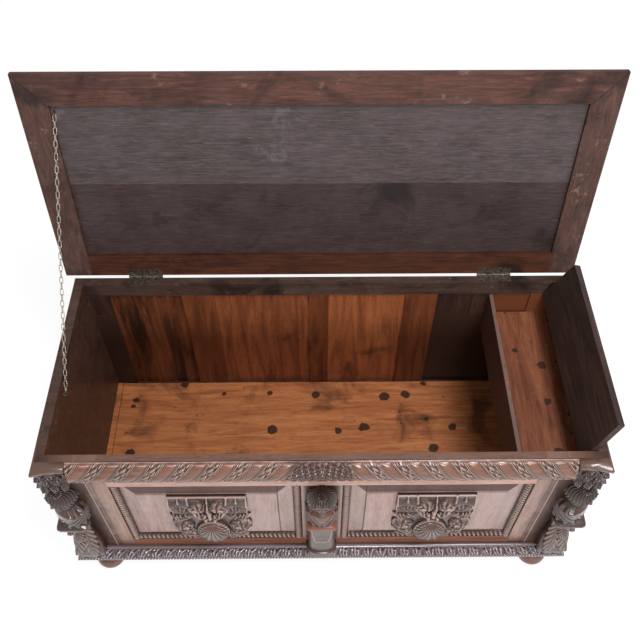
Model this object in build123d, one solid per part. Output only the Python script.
from build123d import *
from math import asin, atan2, ceil, cos, degrees, floor, pi, radians, sin, sqrt, tan
import os

# Carved chest (cassone) with a framed lid on two butt hinges, a stay chain and a till
# with its own lid. Millimetres, +Z up, the front faces -Y, the floor is z = 0.
# Pieces are drawn about the centre of the carcase; the whole chest is shifted along Y
# at the end, so that the origin lies under the middle of its bounding box with the lid open.

# ---------------------------------------------------------------- driving sizes
# carcase
rim_width = 1350          # over the top edge of the side mouldings
rim_depth = 568           # front moulding to the outside of the back
rim_height = 615          # floor to the top edge of the carcase
side_moulding = 5         # side mouldings proud of the end boards
inner_front = 27          # front rim edge to the inside of the front
front_frame = 18          # thickness of the front framing
back_frame = 25           # thickness of the back framing
side_board = 20           # thickness of the end boards
foot_height = 78
foot_diameter = 82
foot_side_inset = 78      # foot centre from the outer edge of the base moulding
floor_rise = 47           # feet to the top of the floor boards
floor_thickness = 18
floor_side_gap = 17.5     # strip beside the floor that the cleats fill
floor_back_gap = 5        # open slot behind the floor boards
bearer_inset = 90         # middle of the outer bearers from the end boards

# front framing
stile_inner = 528         # chest centre to the inner edge of a front stile
muntin_half = 52
top_rail_height = 136
bottom_rail_over_floor = 20   # top edge of the bottom rail above the floor boards
groove_depth = 8
groove_clearance = 0.2
panel_tongue = 6
panel_set_back = 2        # back of the panels in front of the inside of the chest
panel_bevel = 38
panel_rise = 11           # of the bevel
field_step = 3
bead_width = 22
bead_depth = 12

# carved frieze under the rim
frieze_height = 90
frieze_top_step = 9
frieze_bulge = 24
band_relief = 3
band_width = 30
band_pitch = 64
band_count = 8
band_lean = 23            # degrees from upright
side_frieze_bulge = 12

# base moulding
base_height = 24
base_ledge = 12           # flat top of the moulding
base_front = 36
base_side = 20.5

# lid
lid_width = 1397
lid_depth = 588
lid_thickness = 26
lid_gap = 2               # closed lid above the rim
lid_stile = 71.8
lid_front_rail = 76.9
lid_back_rail = 68.3
lid_recess = 10
lid_panel = 12
lid_edge_round = 16
lid_open = 99.25          # degrees from shut to resting on the chain

# hinges
hinge_length = 93
hinge_centre = 480        # chest centre to the middle of each hinge
hinge_offset = 4          # pin centre behind the carcase
knuckle_radius = 3.5
pin_radius = 1.7
pin_clearance = 0.05
leaf_width = 20
leaf_thickness = 1.5
knuckles = 5
knuckle_gap = 0.4
screw_head = 3.2
screw_length = 12

# till
till_room = 166.5         # end board to the till side
till_side_thickness = 10
till_side_depth = 157
till_floor_drop = 130
till_floor_thickness = 12
till_pivot_drop = 43      # pivot below the rim
till_lid_thickness = 16
till_lid_reach = 163      # pivot to the free edge
till_lid_tail = 10        # wood beyond the pivot
till_lid_open = 103
till_lid_skew = 37        # back end cut back towards the free edge
till_end_gap = 2
till_pin_radius = 4
till_pin_length = 12
till_seat_gap = 0.4

# chain
chain_wire = 2.0
chain_link_clear = 14.8   # inside length, trimmed so that whole links fill the line
chain_link_width = 5.4    # inside width
chain_slack = 0.25
chain_eye_radius = 5      # to the middle of the wire
chain_eye_wire = 1.2
chain_eye_stand = 1.5     # ring's wire centre off the wood
chain_eye_leg = 8
chain_eye_clearance = 0.1
chain_lid_corner = (8.7, 21.1)   # lid eye from the inner edges of the stile and the front rail
chain_wall_forward = 67   # in front of the carcase centre
chain_wall_drop = 36

# ---------------------------------------------------------------- worked-out planes
front_edge = -rim_depth / 2
back_face = rim_depth / 2
inside_front = front_edge + inner_front
front_plane = inside_front - front_frame
inside_back = back_face - back_frame
side_plane = rim_width / 2 - side_moulding
inside_side = side_plane - side_board
floor_top = foot_height + floor_rise
base_top = foot_height + base_height
rail_bottom = rim_height - top_rail_height
bottom_rail_top = floor_top + bottom_rail_over_floor
panel_left, panel_right = muntin_half, stile_inner
panel_bottom, panel_top = bottom_rail_top, rail_bottom
panel_back = inside_front - panel_set_back
panel_edge = panel_back - panel_tongue
field_plane = panel_edge - panel_rise - field_step


def block(x0, x1, y0, y1, z0, z1):
    """A board given by its two corners."""
    return Pos((x0 + x1) / 2, (y0 + y1) / 2, (z0 + z1) / 2) * Box(x1 - x0, y1 - y0, z1 - z0)


def prism_z(points, z0, z1):
    """A plan outline raised from z0 to z1."""
    return Pos(0, 0, z0) * extrude(make_face(Polyline(*points, close=True)), amount=z1 - z0)


def run_along_x(profile, x0, x1):
    """A section drawn in y and z, run from x0 to x1."""
    return Pos(x0, 0, 0) * extrude(Plane.YZ * profile, amount=x1 - x0)


def run_along_y(profile, y0, y1):
    """A section drawn in x and z, run from y0 to y1."""
    return Pos(0, y1, 0) * extrude(Plane.XZ * profile, amount=y1 - y0)


def egg(rx, ry, rz):
    """An ellipsoid."""
    return scale(Sphere(1), by=(rx, ry, rz))


def mirrored(shape):
    """The same piece on the other side of the chest."""
    return mirror(shape, about=Plane.YZ)


def one(shape):
    """The single solid of a boolean result."""
    return max(shape.solids(), key=lambda s: s.volume)


# ---------------------------------------------------------------- front framing
def front_panel(sign):
    """A raised and fielded panel: tongue, bevel all round, small step, flat field."""
    bevel_face = panel_edge - panel_rise
    x0, x1 = panel_left + bead_width, panel_right - bead_width
    z0, z1 = panel_bottom + bead_width, panel_top
    tongue = block(panel_left - groove_depth, panel_right + groove_depth, panel_edge, panel_back,
                   panel_bottom - groove_depth, panel_top + groove_depth)
    low = Plane.XZ.offset(-panel_edge) * Pos((x0 + x1) / 2, (z0 + z1) / 2) * Rectangle(x1 - x0, z1 - z0)
    high = Plane.XZ.offset(-bevel_face) * Pos((x0 + x1) / 2, (z0 + z1) / 2) * Rectangle(
        x1 - x0 - 2 * panel_bevel, z1 - z0 - 2 * panel_bevel)
    bevel = loft([low.face(), high.face()])
    inset = panel_bevel + 2
    field = block(x0 + inset, x1 - inset, field_plane, bevel_face, z0 + inset, z1 - inset)
    shape = one(tongue + bevel + field)
    return shape if sign > 0 else mirrored(shape)


def panel_groove(sign):
    """The space a front panel's tongue takes in the framing around it."""
    c = groove_clearance
    shape = block(panel_left - groove_depth - c, panel_right + groove_depth + c,
                  panel_edge - c, panel_back + c,
                  panel_bottom - groove_depth - c, panel_top + groove_depth + c)
    return shape if sign > 0 else mirrored(shape)


grooves = panel_groove(1) + panel_groove(-1)
front_y = (front_plane, inside_front)
front_top_rail = one(block(-stile_inner, stile_inner, *front_y, rail_bottom, rim_height) - grooves)
front_bottom_rail = one(block(-stile_inner, stile_inner, *front_y, foot_height, panel_bottom) - grooves)
front_muntin = one(block(-muntin_half, muntin_half, *front_y, panel_bottom, panel_top) - grooves)
front_stile_right = one(block(stile_inner, side_plane, *front_y, foot_height, rim_height) - grooves)
front_stile_left = mirrored(front_stile_right)


def bead_strips():
    """Half-round strips on both sides and along the foot of each panel opening."""
    y1 = panel_edge
    y0 = y1 - bead_depth
    flat = 3
    strips = []
    for sign in (1, -1):
        for x0 in (panel_left, panel_right - bead_width):
            core = block(x0, x0 + bead_width, y0 + flat, y1, panel_bottom, panel_top)
            roll = Pos(x0 + bead_width / 2, y0 + bead_width / 2 - 1.5, (panel_bottom + panel_top) / 2) \
                * Cylinder(bead_width / 2 - 1.5, panel_top - panel_bottom)
            strips.append(one(core + (roll & block(x0, x0 + bead_width, y0 - 1, y0 + flat, 0, rim_height))))
        x0, x1 = panel_left + bead_width, panel_right - bead_width
        core = block(x0, x1, y0 + flat, y1, panel_bottom, panel_bottom + bead_width)
        roll = Pos((x0 + x1) / 2, y0 + bead_width / 2 - 1.5, panel_bottom + bead_width / 2) \
            * Rot(0, 90, 0) * Cylinder(bead_width / 2 - 1.5, x1 - x0)
        strips.append(one(core + (roll & block(x0, x1, y0 - 1, y0 + flat, 0, rim_height))))
    right, left = strips[:3], [mirrored(s) for s in strips[3:]]
    return right + left


# ---------------------------------------------------------------- cartouches
panel_middle = (panel_left + panel_right) / 2
cartouche_width = 200
cartouche_top = panel_top - panel_bevel
cartouche_low = panel_bottom + 31
flute_pitch = 74          # hollow flutes of the cresting
flute_radius = 30
rosette_radius = 28
whorl_radius = 26
shell_half_width = 46
shell_proud = 34
shell_ribs = 9
shell_rib_relief = 5


def relief(points, thick, taper=0.0):
    """An outline in the front plane, raised towards the viewer by thick with sloping sides."""
    face = make_face(Polyline(*points, close=True))
    return extrude(Plane.XZ * face, amount=thick, taper=taper)


def leaf(length, width, thick, curl=0.0):
    """A pointed leaf growing along +x in the front plane, with a raised midrib."""
    n = 5
    upper = [(length * t / n, width / 2 * sin(pi * (t / n) ** 0.8) + curl * (t / n) ** 2) for t in range(1, n)]
    lower = [(length * t / n, -width / 2 * sin(pi * (t / n) ** 0.8) + curl * (t / n) ** 2)
             for t in range(n - 1, 0, -1)]
    return relief([(0, 0)] + upper + [(length, curl)] + lower, thick, 18)


def fan_outline(reach, ribs, sweep=200):
    """Rays of a shell from its hinge, opening downwards: a wide ray for each rib, a cut between."""
    points = [(-6, 8), (6, 8)]
    step = sweep / ribs
    for i in range(ribs):
        start = (sweep - 180) / 2 - i * step
        for share, radius in ((0.1, reach), (0.9, reach), (1.0, 9)):
            a = radians(start - step * share)
            points.append((radius * cos(a), radius * sin(a)))
    return points


def whorl(radius):
    """A dome with a ring groove round a middle boss, standing on the front plane."""
    ring = radius * 0.62
    groove = Pos(0, -sqrt(radius ** 2 - ring ** 2), 0) * Rot(90, 0, 0) * Torus(ring, radius * 0.1)
    return Sphere(radius) - groove


def cartouche():
    """Fluted cresting, two rosettes, a domed shell below them, whorls and leaves at the sides."""
    half = cartouche_width / 2
    height = cartouche_top - cartouche_low
    rosette_z = cartouche_top - 43
    shell_middle = cartouche_low + height * 0.24
    shell_half = height * 0.24
    hinge_of_shell = shell_middle + shell_half * 0.82
    whorl_z = shell_middle + 45
    plate_low = shell_middle - 12
    plate = relief([(-half, cartouche_top), (half, cartouche_top), (half - 4, rosette_z - 8),
                    (half - 14, rosette_z - 26), (half, whorl_z + 12), (half - 6, plate_low),
                    (-half + 6, plate_low), (-half, whorl_z + 12), (-half + 14, rosette_z - 26),
                    (-half + 4, rosette_z - 8)], 12, 12)
    cresting = block(-half + 1, half - 1, -24, 0, cartouche_top - 34, cartouche_top)
    for i in (-1.5, -0.5, 0.5, 1.5):
        cresting -= Pos(flute_pitch * i, -flute_radius - 6, cartouche_top - 17) * Cylinder(flute_radius, 40)
    dome = Pos(0, 0, shell_middle) * egg(shell_half_width, shell_proud, shell_half)
    inner = Pos(0, 0, shell_middle) * egg(shell_half_width - shell_rib_relief, shell_proud - shell_rib_relief,
                                          shell_half - shell_rib_relief)
    rays = Pos(0, 0, hinge_of_shell) * relief(fan_outline(shell_half * 2, shell_ribs), shell_proud + 10)
    shape = plate + cresting + inner + (dome & rays)
    for side in (1, -1):
        shape += Pos(side * (rosette_radius - 1), 0, rosette_z) * whorl(rosette_radius)
        shape += Pos(side * (half - whorl_radius + 2), 0, whorl_z) * whorl(whorl_radius)
        for angle, z in ((24, rosette_z - 6), (-34, shell_middle + 18)):
            shape += Pos(side * half * 0.5, -8, z) * Rot(0, -angle if side > 0 else angle - 180, 0) \
                * leaf(half * 0.56, 30, 12)
    keep = block(-half - 10, half + 10, -60, 0, cartouche_low, cartouche_top)
    return one(Pos(panel_middle, field_plane, 0) * (shape & keep))


# ---------------------------------------------------------------- carved frieze and base mouldings
def bulged(p_top, p_max, z_top, z_bottom, extra=0.0):
    """Frieze section: a fillet, then a bulging face. p is the distance in front of the frame."""
    fillet_z = z_top - 4
    edges = [
        Line((0, z_top), (p_top, z_top)),
        Line((p_top, z_top), (p_top, fillet_z)),
        ThreePointArc((p_top, fillet_z), (p_max + extra, (z_top + z_bottom) / 2 + 4), (p_top, z_bottom + 3)),
        Line((p_top, z_bottom + 3), (p_top - 2, z_bottom)),
        Line((p_top - 2, z_bottom), (0, z_bottom)),
        Line((0, z_bottom), (0, z_top)),
    ]
    return make_face(Wire(edges))


def facing_front(section):
    """Turns a section drawn outwards along +x so that it stands on the front frame."""
    return Pos(front_plane, 0) * mirror(section, about=Plane.YZ)


def facing_side(section):
    """Places a section drawn outwards along +x on the right end board."""
    return Pos(side_plane, 0) * section


corner_width = 70
corner_start = side_plane - corner_width
frieze_bottom = rim_height - frieze_height


def frieze_front():
    """Bulged moulding with slanted plain bands and a leaf boss in the middle."""
    base = run_along_x(facing_front(bulged(frieze_top_step, frieze_bulge, rim_height, frieze_bottom)),
                       -corner_start, corner_start)
    proud = run_along_x(
        facing_front(bulged(frieze_top_step, frieze_bulge, rim_height, frieze_bottom, band_relief)),
        -corner_start, corner_start)
    middle = (rim_height + frieze_bottom) / 2
    bands = []
    for side in (1, -1):
        for i in range(band_count):
            x = side * (band_pitch * (i + 1.2))
            slab = Pos(x, front_plane - 20, middle) * Rot(0, -side * band_lean, 0) * Box(
                band_width, 60, frieze_height * 1.3)
            bands.append(slab)
    boss = Pos(0, front_plane, middle) * Rot(90, 0, 0) * Cylinder(42, 120)
    cutters = bands + [boss]
    raised = [one(proud & c) for c in cutters]
    shape = base
    for piece in raised:
        shape = shape + piece
    return one(shape)


def frieze_side():
    """The plainer return of the frieze along one end."""
    section = facing_side(bulged((rim_width / 2 - side_plane), side_frieze_bulge, rim_height, frieze_bottom))
    return run_along_y(section, corner_back, back_face)


corner_back = front_plane + 45    # where the corner carvings end along the chest's sides


def base_section(reach):
    """Base moulding section: upright foot edge, torus, small top fillet."""
    k = reach / base_front
    z0 = foot_height
    step = 2
    ledge = base_ledge * k
    edges = [
        Line((0, z0), (reach - 2 * k, z0)),
        Line((reach - 2 * k, z0), (reach, z0 + 4)),
        ThreePointArc((reach, z0 + 4), (reach - 7 * k, base_top - 8), (ledge, base_top - step)),
        Line((ledge, base_top - step), (ledge, base_top)),
        Line((ledge, base_top), (0, base_top)),
        Line((0, base_top), (0, z0)),
    ]
    return make_face(Wire(edges))


def base_front_moulding():
    outer_x, outer_y = side_plane + base_side, front_plane - base_front
    run = run_along_x(facing_front(base_section(base_front)), -outer_x, outer_x)
    plan = prism_z([(-outer_x, outer_y), (outer_x, outer_y), (side_plane, front_plane),
                    (-side_plane, front_plane)], 0, rim_height)
    return one(run & plan)


def base_side_moulding():
    outer_x, outer_y = side_plane + base_side, front_plane - base_front
    run = run_along_y(facing_side(base_section(base_side)), outer_y, back_face)
    plan = prism_z([(outer_x, outer_y), (outer_x, back_face), (side_plane, back_face),
                    (side_plane, front_plane)], 0, rim_height)
    return one(run & plan)


# ---------------------------------------------------------------- corner carvings (right, mirrored for left)
corner_out_x = side_plane + 20
corner_out_y = front_plane - 45
corner_root = front_plane + 35    # carvings are drawn from here and cut back to the carcase
capital_height = 102
capital_low = rim_height - capital_height
herm_shelf_lift = 10.5    # shelf above the middle between base and capital
herm_shelf_thickness = 13
herm_shelf_top = (base_top + capital_low) / 2 + herm_shelf_lift
herm_shelf_low = herm_shelf_top - herm_shelf_thickness
carcase_core = block(-side_plane, side_plane, front_plane, back_face, 0, rim_height + 50)


def level(z, inner, out_x, out_y):
    """A plan rectangle of the corner at height z; the last two are its overhangs past the carcase."""
    x1, y0 = side_plane + out_x, front_plane - out_y
    return (Pos(0, 0, z) * make_face(Polyline((corner_start + inner, corner_root), (corner_start + inner, y0),
                                              (x1, y0), (x1, corner_root), close=True))).face()


def corner_capital():
    """Block under the rim corner: thin slab with a hollowed front over a leafy body."""
    slab_low = rim_height - 12
    slab = prism_z([(corner_start, front_plane), (corner_start, front_plane - 25),
                    (side_plane - 30, front_plane - 28), (side_plane - 10, front_plane - 32),
                    (side_plane + side_moulding, front_plane - 35), (side_plane + side_moulding, corner_back),
                    (side_plane, corner_back)], slab_low, rim_height)
    shape = slab + loft([level(slab_low, 4, 1, 30), level(capital_low, 14, 12, 31)])
    lobe = capital_height * 0.25
    for x, y in ((-50, -25), (-23, -29), (7, -27), (10, 10)):
        shape += Pos(side_plane + x, front_plane + y, capital_low + lobe - 6) * egg(13, 9, lobe)
        shape += Pos(side_plane + x * 0.8, front_plane + y, capital_low + lobe * 2.2) * egg(10, 8, lobe)
    return one(shape - carcase_core)


def corner_herm():
    """Head, draped bust and the square shelf it stands on, turned 45 degrees outwards."""
    head_x, head_y, head_z = side_plane - 25, front_plane - 5, capital_low - 51
    turn = Rot(0, 0, 45)
    # local frame: -y is outwards along the corner's diagonal
    head = Pos(0, 0, 0) * egg(31, 36, 42)
    hair = Pos(0, 6, 9) * egg(38, 37, 40)
    brow = Pos(0, -28, 8) * egg(20, 8, 6)
    nose = Pos(0, -36, -5) * Rot(12, 0, 0) * Cone(6.5, 2.5, 20)
    chin = Pos(0, -25, -32) * egg(13, 12, 11)
    neck = Pos(0, 4, -46) * Cylinder(21, 34)
    figure = head + hair + brow + nose + chin + neck
    figure = Pos(head_x, head_y, head_z) * turn * figure
    top = Pos(head_x - 2, head_y + 2, head_z - 56) * Rot(0, 0, 45) * Ellipse(54, 37)
    waist = Pos(head_x + 4, head_y - 4, herm_shelf_top) * Rot(0, 0, 45) * Ellipse(38, 36)
    bust = loft([top.face(), waist.face()])
    shoulders = Pos(head_x - 2, head_y + 2, head_z - 58) * turn * egg(54, 36, 17)
    shelf = block(corner_start + 12, corner_out_x, corner_out_y, corner_back, herm_shelf_low, herm_shelf_top)
    folds = None
    for across in (-26, -9, 9, 26):
        fold = Pos(head_x, head_y, herm_shelf_top + 48) * turn * Pos(across, -32 + abs(across) * 0.32, 0) \
            * Rot(-4, across * 0.3, 0) * egg(6, 7, 44)
        folds = fold if folds is None else folds + fold
    keep = block(corner_start, corner_out_x, corner_out_y - 40, corner_back, herm_shelf_low, capital_low)
    return one(((figure + bust + shoulders + folds + shelf) & keep) - carcase_core)


def corner_bracket():
    """Scrolled leg under the shelf: narrow knee, spreading foot with leaf lobes."""
    knee = herm_shelf_low - 47
    upper = loft([level(herm_shelf_low, 12, 6, 37), level(knee, 12, 2, 31)])
    lower = loft([level(knee, 12, 2, 31), level(base_top, 0, 11, 36)])
    shape = upper + lower
    shape += Pos(side_plane - 28, front_plane - 31, herm_shelf_low - 29) * Rot(0, 90, 0) * Cylinder(15, 58)
    shape += Pos(side_plane - 34, front_plane - 24, base_top + 16) * Rot(0, 90, 0) * Cylinder(15, 66)
    half = (knee - base_top) * 0.36
    for x, y, lean in ((-48, -29, 8), (-20, -32, 0), (4, -31, -8)):
        shape += Pos(side_plane + x, front_plane + y, base_top + half + 12) * Rot(0, lean, 0) * egg(12, 10, half)
    keep = block(corner_start, corner_out_x, corner_out_y, corner_back, base_top, herm_shelf_low)
    return one((shape & keep) - carcase_core)


# ---------------------------------------------------------------- centre console
console_half = 42
console_shelf_top = herm_shelf_top + 3
console_shelf_low = console_shelf_top - 8
plinth_height = 27


def centre_mask():
    """Bearded mask over a leaf-sided breast, on a straight-edged shelf."""
    head_z = frieze_bottom - 55
    head = Pos(0, front_plane - 20, head_z) * egg(31, 34, 44)
    hair = Pos(0, front_plane - 12, head_z + 10) * egg(41, 34, 40)
    brow = Pos(0, front_plane - 47, head_z + 8) * egg(20, 8, 6)
    nose = Pos(0, front_plane - 54, head_z - 6) * Rot(12, 0, 0) * Cone(6.5, 2.5, 20)
    beard = Pos(0, front_plane - 30, head_z - 48) * Rot(180, 0, 0) * Cone(24, 6, 60)
    breast = loft([
        (Pos(0, front_plane, head_z - 42) * Ellipse(40, 34)).face(),
        (Pos(0, front_plane, console_shelf_top) * Ellipse(36, 40)).face(),
    ])
    shape = head + hair + brow + nose + beard + breast
    for side in (1, -1):
        shape += Pos(side * 24, front_plane - 30, console_shelf_top + 59) * Rot(0, side * 12, 0) * egg(15, 10, 50)
    shelf = block(-38, 38, front_plane - 50, front_plane, console_shelf_low, console_shelf_top)
    keep = block(-console_half, console_half, front_plane - 80, front_plane, console_shelf_low, frieze_bottom)
    return one((shape & keep) + shelf)


def centre_bracket():
    """Half-round tapering block with a raised apron, on a half-round plinth."""
    plinth_top = base_top + plinth_height
    block_part = loft([
        (Pos(0, front_plane, plinth_top) * Ellipse(38, 36)).face(),
        (Pos(0, front_plane, console_shelf_low) * Ellipse(37, 44)).face(),
    ])
    apron = Pos(0, front_plane - 34, console_shelf_low - 51) * relief([(-24, 50), (24, 50), (15, -36), (-15, -36)],
                                                                      9, 14)
    plinth = Pos(0, front_plane, base_top) * extrude(Circle(console_half), amount=plinth_height)
    keep = block(-console_half, console_half, front_plane - 60, front_plane, base_top, console_shelf_low)
    return one((block_part + apron + plinth) & keep)


# ---------------------------------------------------------------- back framing
back_rail_drop = 48       # visible height of the top rail inside
back_panel_face = 6       # panels behind the muntins
back_bottom_rail = 40
back_stile = 60
back_muntins = ((-0.526, 90), (-0.006, 56), (0.438, 90))   # middle as a share of the half width, width
back_y = (inside_back, back_face)


def back_panels():
    """Four plain boards between the muntins, tongued into the framing."""
    edges = [-(inside_side - back_stile)]
    for share, width in back_muntins:
        edges += [share * inside_side - width / 2, share * inside_side + width / 2]
    edges.append(inside_side - back_stile)
    z0 = foot_height + back_bottom_rail
    z1 = rim_height - back_rail_drop
    spans = [(edges[i], edges[i + 1]) for i in range(0, len(edges), 2)]
    y0 = inside_back + back_panel_face
    boards = [block(a - groove_depth, b + groove_depth, y0, y0 + 10, z0 - groove_depth, z1 + groove_depth)
              for a, b in spans]
    c = groove_clearance
    slots = [block(a - groove_depth - c, b + groove_depth + c, y0 - c, y0 + 10 + c,
                   z0 - groove_depth - c, z1 + groove_depth + c) for a, b in spans]
    return boards, slots


# ---------------------------------------------------------------- lid, drawn shut
hinge_y = back_face + hinge_offset
hinge_z = rim_height + lid_gap / 2
lid_low = rim_height + lid_gap
lid_high = lid_low + lid_thickness
lid_back = back_face
lid_front = lid_back - lid_depth
lid_half = lid_width / 2
open_lid = Pos(0, hinge_y, hinge_z) * Rot(-lid_open, 0, 0) * Pos(0, -hinge_y, -hinge_z)


def lid_members():
    """Stiles, rails and the two panel boards of the lid, in the shut position."""
    x_in = lid_half - lid_stile
    y_in = lid_front + lid_front_rail
    y_back = lid_back - lid_back_rail
    c = groove_clearance
    panel_low, panel_high = lid_low + lid_recess, lid_low + lid_recess + lid_panel
    tongue = block(-x_in - groove_depth, x_in + groove_depth, y_in - groove_depth, y_back + groove_depth,
                   panel_low, panel_high)
    slot = block(-x_in - groove_depth - c, x_in + groove_depth + c, y_in - groove_depth - c,
                 y_back + groove_depth + c, panel_low - c, panel_high + c)
    front = block(-lid_half, lid_half, lid_front, y_in, lid_low, lid_high)
    front = fillet(front.edges().filter_by(Axis.X).group_by(Axis.Z)[-1].sort_by(Axis.Y)[0], lid_edge_round)
    front_plan = prism_z([(-lid_half, lid_front), (lid_half, lid_front), (x_in, y_in), (-x_in, y_in)],
                         lid_low, lid_high)
    stile = block(x_in, lid_half, lid_front, lid_back, lid_low, lid_high)
    stile = fillet(stile.edges().filter_by(Axis.Y).group_by(Axis.Z)[-1].sort_by(Axis.X)[-1], lid_edge_round)
    stile_plan = prism_z([(lid_half, lid_front), (lid_half, lid_back), (x_in, lid_back), (x_in, y_in)],
                         lid_low, lid_high)
    right = one((stile & stile_plan) - slot)
    back = block(-x_in, x_in, y_back, lid_back, lid_low, lid_high)
    middle = (y_in + y_back) / 2
    board = tongue & block(-lid_half, lid_half, lid_front, middle, lid_low, lid_high)
    other = tongue & block(-lid_half, lid_half, middle, lid_back, lid_low, lid_high)
    return {
        "lid_stile_right": right,
        "lid_stile_left": mirrored(right),
        "lid_front_rail": one((front & front_plan) - slot),
        "lid_back_rail": one(back - slot),
        "lid_board_front": one(board),
        "lid_board_back": one(other),
    }


# ---------------------------------------------------------------- butt hinges
def hinge_parts(centre):
    """Chest leaf, lid leaf, pin, screws of each leaf and the seats they are let into."""
    pitch = hinge_length / knuckles
    x0 = centre - hinge_length / 2
    bore = Pos(centre, hinge_y, hinge_z) * Rot(0, 90, 0) * Cylinder(pin_radius + pin_clearance,
                                                                     hinge_length + 10)
    leaves, seats, screws = [], [], []
    for lid_side in (False, True):
        if lid_side:
            z0, z1 = lid_low, lid_low + leaf_thickness
        else:
            z0, z1 = rim_height - leaf_thickness, rim_height
        plate = block(x0, x0 + hinge_length, back_face - leaf_width, back_face + 0.2, z0, z1)
        seats.append(block(x0 - 0.1, x0 + hinge_length + 0.1, back_face - leaf_width - 0.1, back_face + 1,
                           min(z0, z1 - 0.02) if not lid_side else z0 - 1, z1 + (0.02 if lid_side else 1)))
        shape = plate
        for i in range(knuckles):
            if (i % 2 == 1) != lid_side:
                continue
            a, b = x0 + i * pitch + knuckle_gap / 2, x0 + (i + 1) * pitch - knuckle_gap / 2
            barrel = Pos((a + b) / 2, hinge_y, hinge_z) * Rot(0, 90, 0) * Cylinder(knuckle_radius, b - a)
            tab = block(a, b, back_face, hinge_y, z0, z1)
            shape = shape + barrel + tab
        holes = []
        for i in range(3):
            x = centre + (i - 1) * hinge_length * 0.34
            y = back_face - leaf_width * (0.6 if i == 1 else 0.45)
            inward = -1 if not lid_side else 1
            face = z1 if not lid_side else z0
            head = Pos(x, y, face + inward * 0.6) * Cylinder(screw_head, 1.2)
            shank = Pos(x, y, face + inward * (screw_length / 2 + 0.6)) * Cylinder(1.6, screw_length - 1.2)
            screws.append((lid_side, one(head + shank)))
            hole = Pos(x, y, face + inward * 0.55) * Cylinder(screw_head + 0.1, 1.3)
            through = Pos(x, y, face + inward * (screw_length / 2 + 0.5)) * Cylinder(1.7, screw_length + 0.4)
            holes.append(hole + through)
        for hole in holes:
            shape = shape - hole
        leaves.append(one(shape - bore))
        seats += holes
    pin = Pos(centre, hinge_y, hinge_z) * Rot(0, 90, 0) * Cylinder(pin_radius, hinge_length)
    return leaves, pin, screws, seats


hinges = [hinge_parts(side * hinge_centre) for side in (-1, 1)]
hinge_seats = [s for h in hinges for s in h[3]]


# ---------------------------------------------------------------- till
till_face = inside_side - till_room
till_inner = till_face - till_side_thickness
till_pivot_z = rim_height - till_pivot_drop
till_half = till_lid_thickness / 2
_open = radians(till_lid_open)
till_pivot_x = inside_side - till_seat_gap - (till_half - till_pivot_drop * cos(_open)) / sin(_open)
till_front_y, till_back_y = inside_front + till_end_gap, inside_back - till_end_gap
till_side_top = till_pivot_z - till_half - 0.3


def till_lid():
    """A board with round-ended pivots; drawn shut, then turned open about its pivot line."""
    x0, x1 = till_pivot_x - till_lid_reach, till_pivot_x + till_lid_tail
    board = prism_z([(x0, till_front_y), (x1, till_front_y), (x1, till_back_y), (till_pivot_x, till_back_y),
                     (x0, till_back_y - till_lid_skew)],
                    till_pivot_z - till_half, till_pivot_z + till_half)
    bores = till_pins(till_pin_radius)
    for pin in bores:
        board = board - pin
    return open_till(one(board))


def till_pins(radius):
    """Two short pivot pins, half in the lid and half in the front and back boards."""
    pins = []
    for y in (till_front_y, till_back_y):
        middle = y
        pins.append(Pos(till_pivot_x, middle, till_pivot_z) * Rot(90, 0, 0)
                    * Cylinder(radius, 2 * till_pin_length))
    return pins


def open_till(shape):
    return Pos(till_pivot_x, 0, till_pivot_z) * Rot(0, till_lid_open, 0) * Pos(-till_pivot_x, 0, -till_pivot_z) \
        * shape


pin_holes = till_pins(till_pin_radius + pin_clearance)


# ---------------------------------------------------------------- chain
def eye(leg):
    """Wire ring standing on a short leg along +z; the ring lies in the y-z plane."""
    ring = Rot(0, 90, 0) * Torus(chain_eye_radius, chain_eye_wire)
    stem = Pos(0, 0, chain_eye_radius - 1 + leg / 2) * Cylinder(chain_eye_wire, leg + 0.4)
    return one(ring + stem)


def eye_hole(leg):
    """The hole that an eye's leg is driven into; it starts at the surface."""
    z = chain_eye_radius + chain_eye_stand
    return Pos(0, 0, z + leg / 2) * Cylinder(chain_eye_wire + pin_clearance, leg)


lid_eye_place = open_lid * Pos(-lid_half + lid_stile + chain_lid_corner[0],
                               lid_front + lid_front_rail + chain_lid_corner[1],
                               lid_low + lid_recess - chain_eye_radius - chain_eye_stand)
lid_eye_centre = Vector(*lid_eye_place.position)
wall_eye_centre = Vector(-inside_side + chain_eye_radius + chain_eye_stand, -chain_wall_forward,
                         rim_height - chain_wall_drop)
chain_line = wall_eye_centre - lid_eye_centre
chain_direction = chain_line.normalized()
# the wall eye's leg points outwards (-x) and its ring lies along the chain
wall_eye_place = Location(Plane(origin=wall_eye_centre, z_dir=(-1, 0, 0),
                                x_dir=Vector(-1, 0, 0).cross(chain_direction)))


def link_outline(length, width):
    """An oval with flats at each end."""
    r = width / 2
    s = length / 2 - r * cos(radians(22.5))
    points = []
    for sign in (1, -1):
        for a in (-67.5, -22.5, 22.5, 67.5):
            points.append((sign * (s + r * cos(radians(a))), sign * r * sin(radians(a)) / sin(radians(67.5))))
    return points


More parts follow.
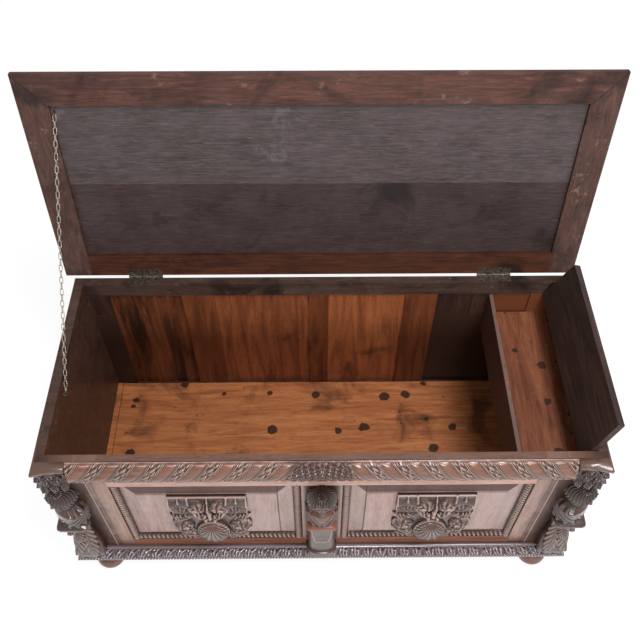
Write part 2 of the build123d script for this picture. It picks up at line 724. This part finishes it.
def chain_links():
    """Oval links from the lid's eye to the wall's, each a quarter turn from its neighbour."""
    room = chain_eye_radius - chain_eye_wire - chain_eye_clearance
    hang = sqrt(room ** 2 - (chain_wire / 2) ** 2) - chain_wire
    free = chain_line.length - 2 * hang - 2 * chain_wire
    # an even number of links, so that both end links stand across their eyes
    count = 2 * round(free / (chain_link_clear - chain_slack) / 2)
    inside = (free + (count - 1) * chain_slack) / count
    pitch = inside - chain_slack
    outer = make_face(Polyline(*link_outline(inside + 2 * chain_wire, chain_link_width + 2 * chain_wire),
                               close=True))
    inner = make_face(Polyline(*link_outline(inside, chain_link_width), close=True))
    flat = Pos(0, 0, -chain_wire / 2) * extrude(outer - inner, amount=chain_wire)
    start = lid_eye_centre + chain_direction * (hang + chain_wire + inside / 2)
    across = Vector(1, 0, 0) - chain_direction * chain_direction.X
    links = []
    for i in range(count):
        place = Plane(origin=start + chain_direction * (pitch * i), x_dir=chain_direction,
                      z_dir=across.normalized())
        links.append(place * (Rot(90 * ((i + 1) % 2), 0, 0) * flat))
    return links


# ---------------------------------------------------------------- assemble
parts = {}

parts["front_top_rail"] = front_top_rail
parts["front_bottom_rail"] = front_bottom_rail
parts["front_muntin"] = front_muntin
parts["front_stile_left"] = front_stile_left
parts["front_stile_right"] = front_stile_right
parts["front_panel_left"] = front_panel(-1)
parts["front_panel_right"] = front_panel(1)
parts["bead_strips"] = bead_strips()
parts["cartouche_right"] = cartouche()
parts["cartouche_left"] = mirrored(parts["cartouche_right"])
parts["frieze_front"] = frieze_front()
parts["frieze_right"] = frieze_side()
parts["frieze_left"] = mirrored(parts["frieze_right"])
parts["centre_mask"] = centre_mask()
parts["centre_bracket"] = centre_bracket()
for name, maker in (("corner_capital", corner_capital), ("corner_herm", corner_herm),
                    ("corner_bracket", corner_bracket)):
    parts[name + "_right"] = maker()
    parts[name + "_left"] = mirrored(parts[name + "_right"])

side_right = block(inside_side, side_plane, inside_front, back_face, foot_height, rim_height)
parts["side_board_right"] = side_right
parts["side_board_left"] = mirrored(side_right)

boards, slots = back_panels()
z_rail = foot_height + back_bottom_rail
z_top = rim_height - back_rail_drop
framing = {
    "back_top_rail": block(-inside_side, inside_side, *back_y, z_top, rim_height),
    "back_bottom_rail": block(-inside_side, inside_side, *back_y, foot_height, z_rail),
    "back_stile_left": block(-inside_side, -inside_side + back_stile, *back_y, z_rail, z_top),
    "back_stile_right": block(inside_side - back_stile, inside_side, *back_y, z_rail, z_top),
}
for name, (share, width) in zip(("left", "centre", "right"), back_muntins):
    middle = share * inside_side
    framing["back_muntin_" + name] = block(middle - width / 2, middle + width / 2, *back_y, z_rail, z_top)
for name, member in framing.items():
    for slot in slots:
        member = member - slot
    parts[name] = one(member)
for i, board in enumerate(boards):
    parts["back_panel_%d" % (i + 1)] = board
for seat in hinge_seats:
    parts["back_top_rail"] = parts["back_top_rail"] - seat
for name in ("back_top_rail", "front_top_rail", "front_stile_right"):
    for hole in pin_holes:
        parts[name] = parts[name] - hole
    parts[name] = one(parts[name])

floor_half = inside_side - floor_side_gap
floor_low = floor_top - floor_thickness
floor_back = inside_back - floor_back_gap
floor_middle = (inside_front + floor_back) / 2
parts["floor_board_front"] = block(-floor_half, floor_half, inside_front, floor_middle, floor_low, floor_top)
parts["floor_board_back"] = block(-floor_half, floor_half, floor_middle, floor_back, floor_low, floor_top)
parts["floor_bearers"] = [block(x - 25, x + 25, inside_front, inside_back, foot_height, floor_low)
                          for x in (bearer_inset - inside_side, 0, inside_side - bearer_inset)]
cleat = block(floor_half + 1.5, inside_side, inside_front, floor_back, floor_low, floor_top + 3)
parts["floor_cleats"] = [mirrored(cleat), cleat]

parts["till_side"] = block(till_inner, till_face, inside_front, inside_back,
                           rim_height - till_side_depth - 48, till_side_top)
parts["till_floor"] = block(till_face, inside_side, inside_front, inside_back,
                            rim_height - till_floor_drop - till_floor_thickness, rim_height - till_floor_drop)
parts["till_lid"] = till_lid()
parts["till_pins"] = till_pins(till_pin_radius)

parts["base_front"] = base_front_moulding()
parts["base_right"] = base_side_moulding()
parts["base_left"] = mirrored(parts["base_right"])


def bun_foot():
    """Turned bun foot: flattened ball with a short neck."""
    r, h = foot_diameter / 2, foot_height
    edges = [
        Line((0, 0), (r * 0.45, 0)),
        ThreePointArc((r * 0.45, 0), (r, h * 0.44), (r * 0.62, h * 0.84)),
        Line((r * 0.62, h * 0.84), (r * 0.62, h)),
        Line((r * 0.62, h), (0, h)),
        Line((0, h), (0, 0)),
    ]
    return revolve(Plane.XZ * make_face(Wire(edges)), Axis.Z)


foot = bun_foot()
foot_x = side_plane + base_side - foot_side_inset
parts["bun_feet"] = [Pos(sx * foot_x, y, 0) * foot for sx in (-1, 1)
                     for y in (front_plane, back_face - 25)]

lid = lid_members()
for seat in hinge_seats:
    lid["lid_back_rail"] = lid["lid_back_rail"] - seat
lid["lid_back_rail"] = one(lid["lid_back_rail"])
lid["hinge_leaves_lid"] = [h[0][1] for h in hinges]
lid["hinge_screws_lid"] = [s for h in hinges for on_lid, s in h[2] if on_lid]
for name, shape in lid.items():
    parts[name] = [open_lid * s for s in shape] if isinstance(shape, list) else open_lid * shape

parts["hinge_leaves_chest"] = [h[0][0] for h in hinges]
parts["hinge_pins"] = [h[1] for h in hinges]
parts["hinge_screws_chest"] = [s for h in hinges for on_lid, s in h[2] if not on_lid]
parts["chain_eye_lid"] = lid_eye_place * eye(chain_eye_leg)
parts["chain_eye_wall"] = wall_eye_place * eye(chain_eye_leg)
parts["lid_board_front"] = parts["lid_board_front"] - lid_eye_place * eye_hole(chain_eye_leg)
parts["side_board_left"] = parts["side_board_left"] - wall_eye_place * eye_hole(chain_eye_leg)
parts["chain"] = chain_links()

everything = [s for shape in parts.values() for s in (shape if isinstance(shape, list) else [shape])]
lows = [s.bounding_box().min.Y for s in everything]
highs = [s.bounding_box().max.Y for s in everything]
centre_y = (min(lows) + max(highs)) / 2

os.makedirs("parts", exist_ok=True)
for name, shape in parts.items():
    solids = shape if isinstance(shape, list) else shape.solids()
    moved = [Pos(0, -centre_y, 0) * s for s in solids]
    export_step(moved[0] if len(moved) == 1 else Compound(children=moved), "parts/%s.step" % name)

print("nodes", len(parts), "shift", round(-centre_y, 4))
print("lid hinge y z", round(hinge_y - centre_y, 3), hinge_z)
print("till pivot x z", round(till_pivot_x, 3), till_pivot_z)
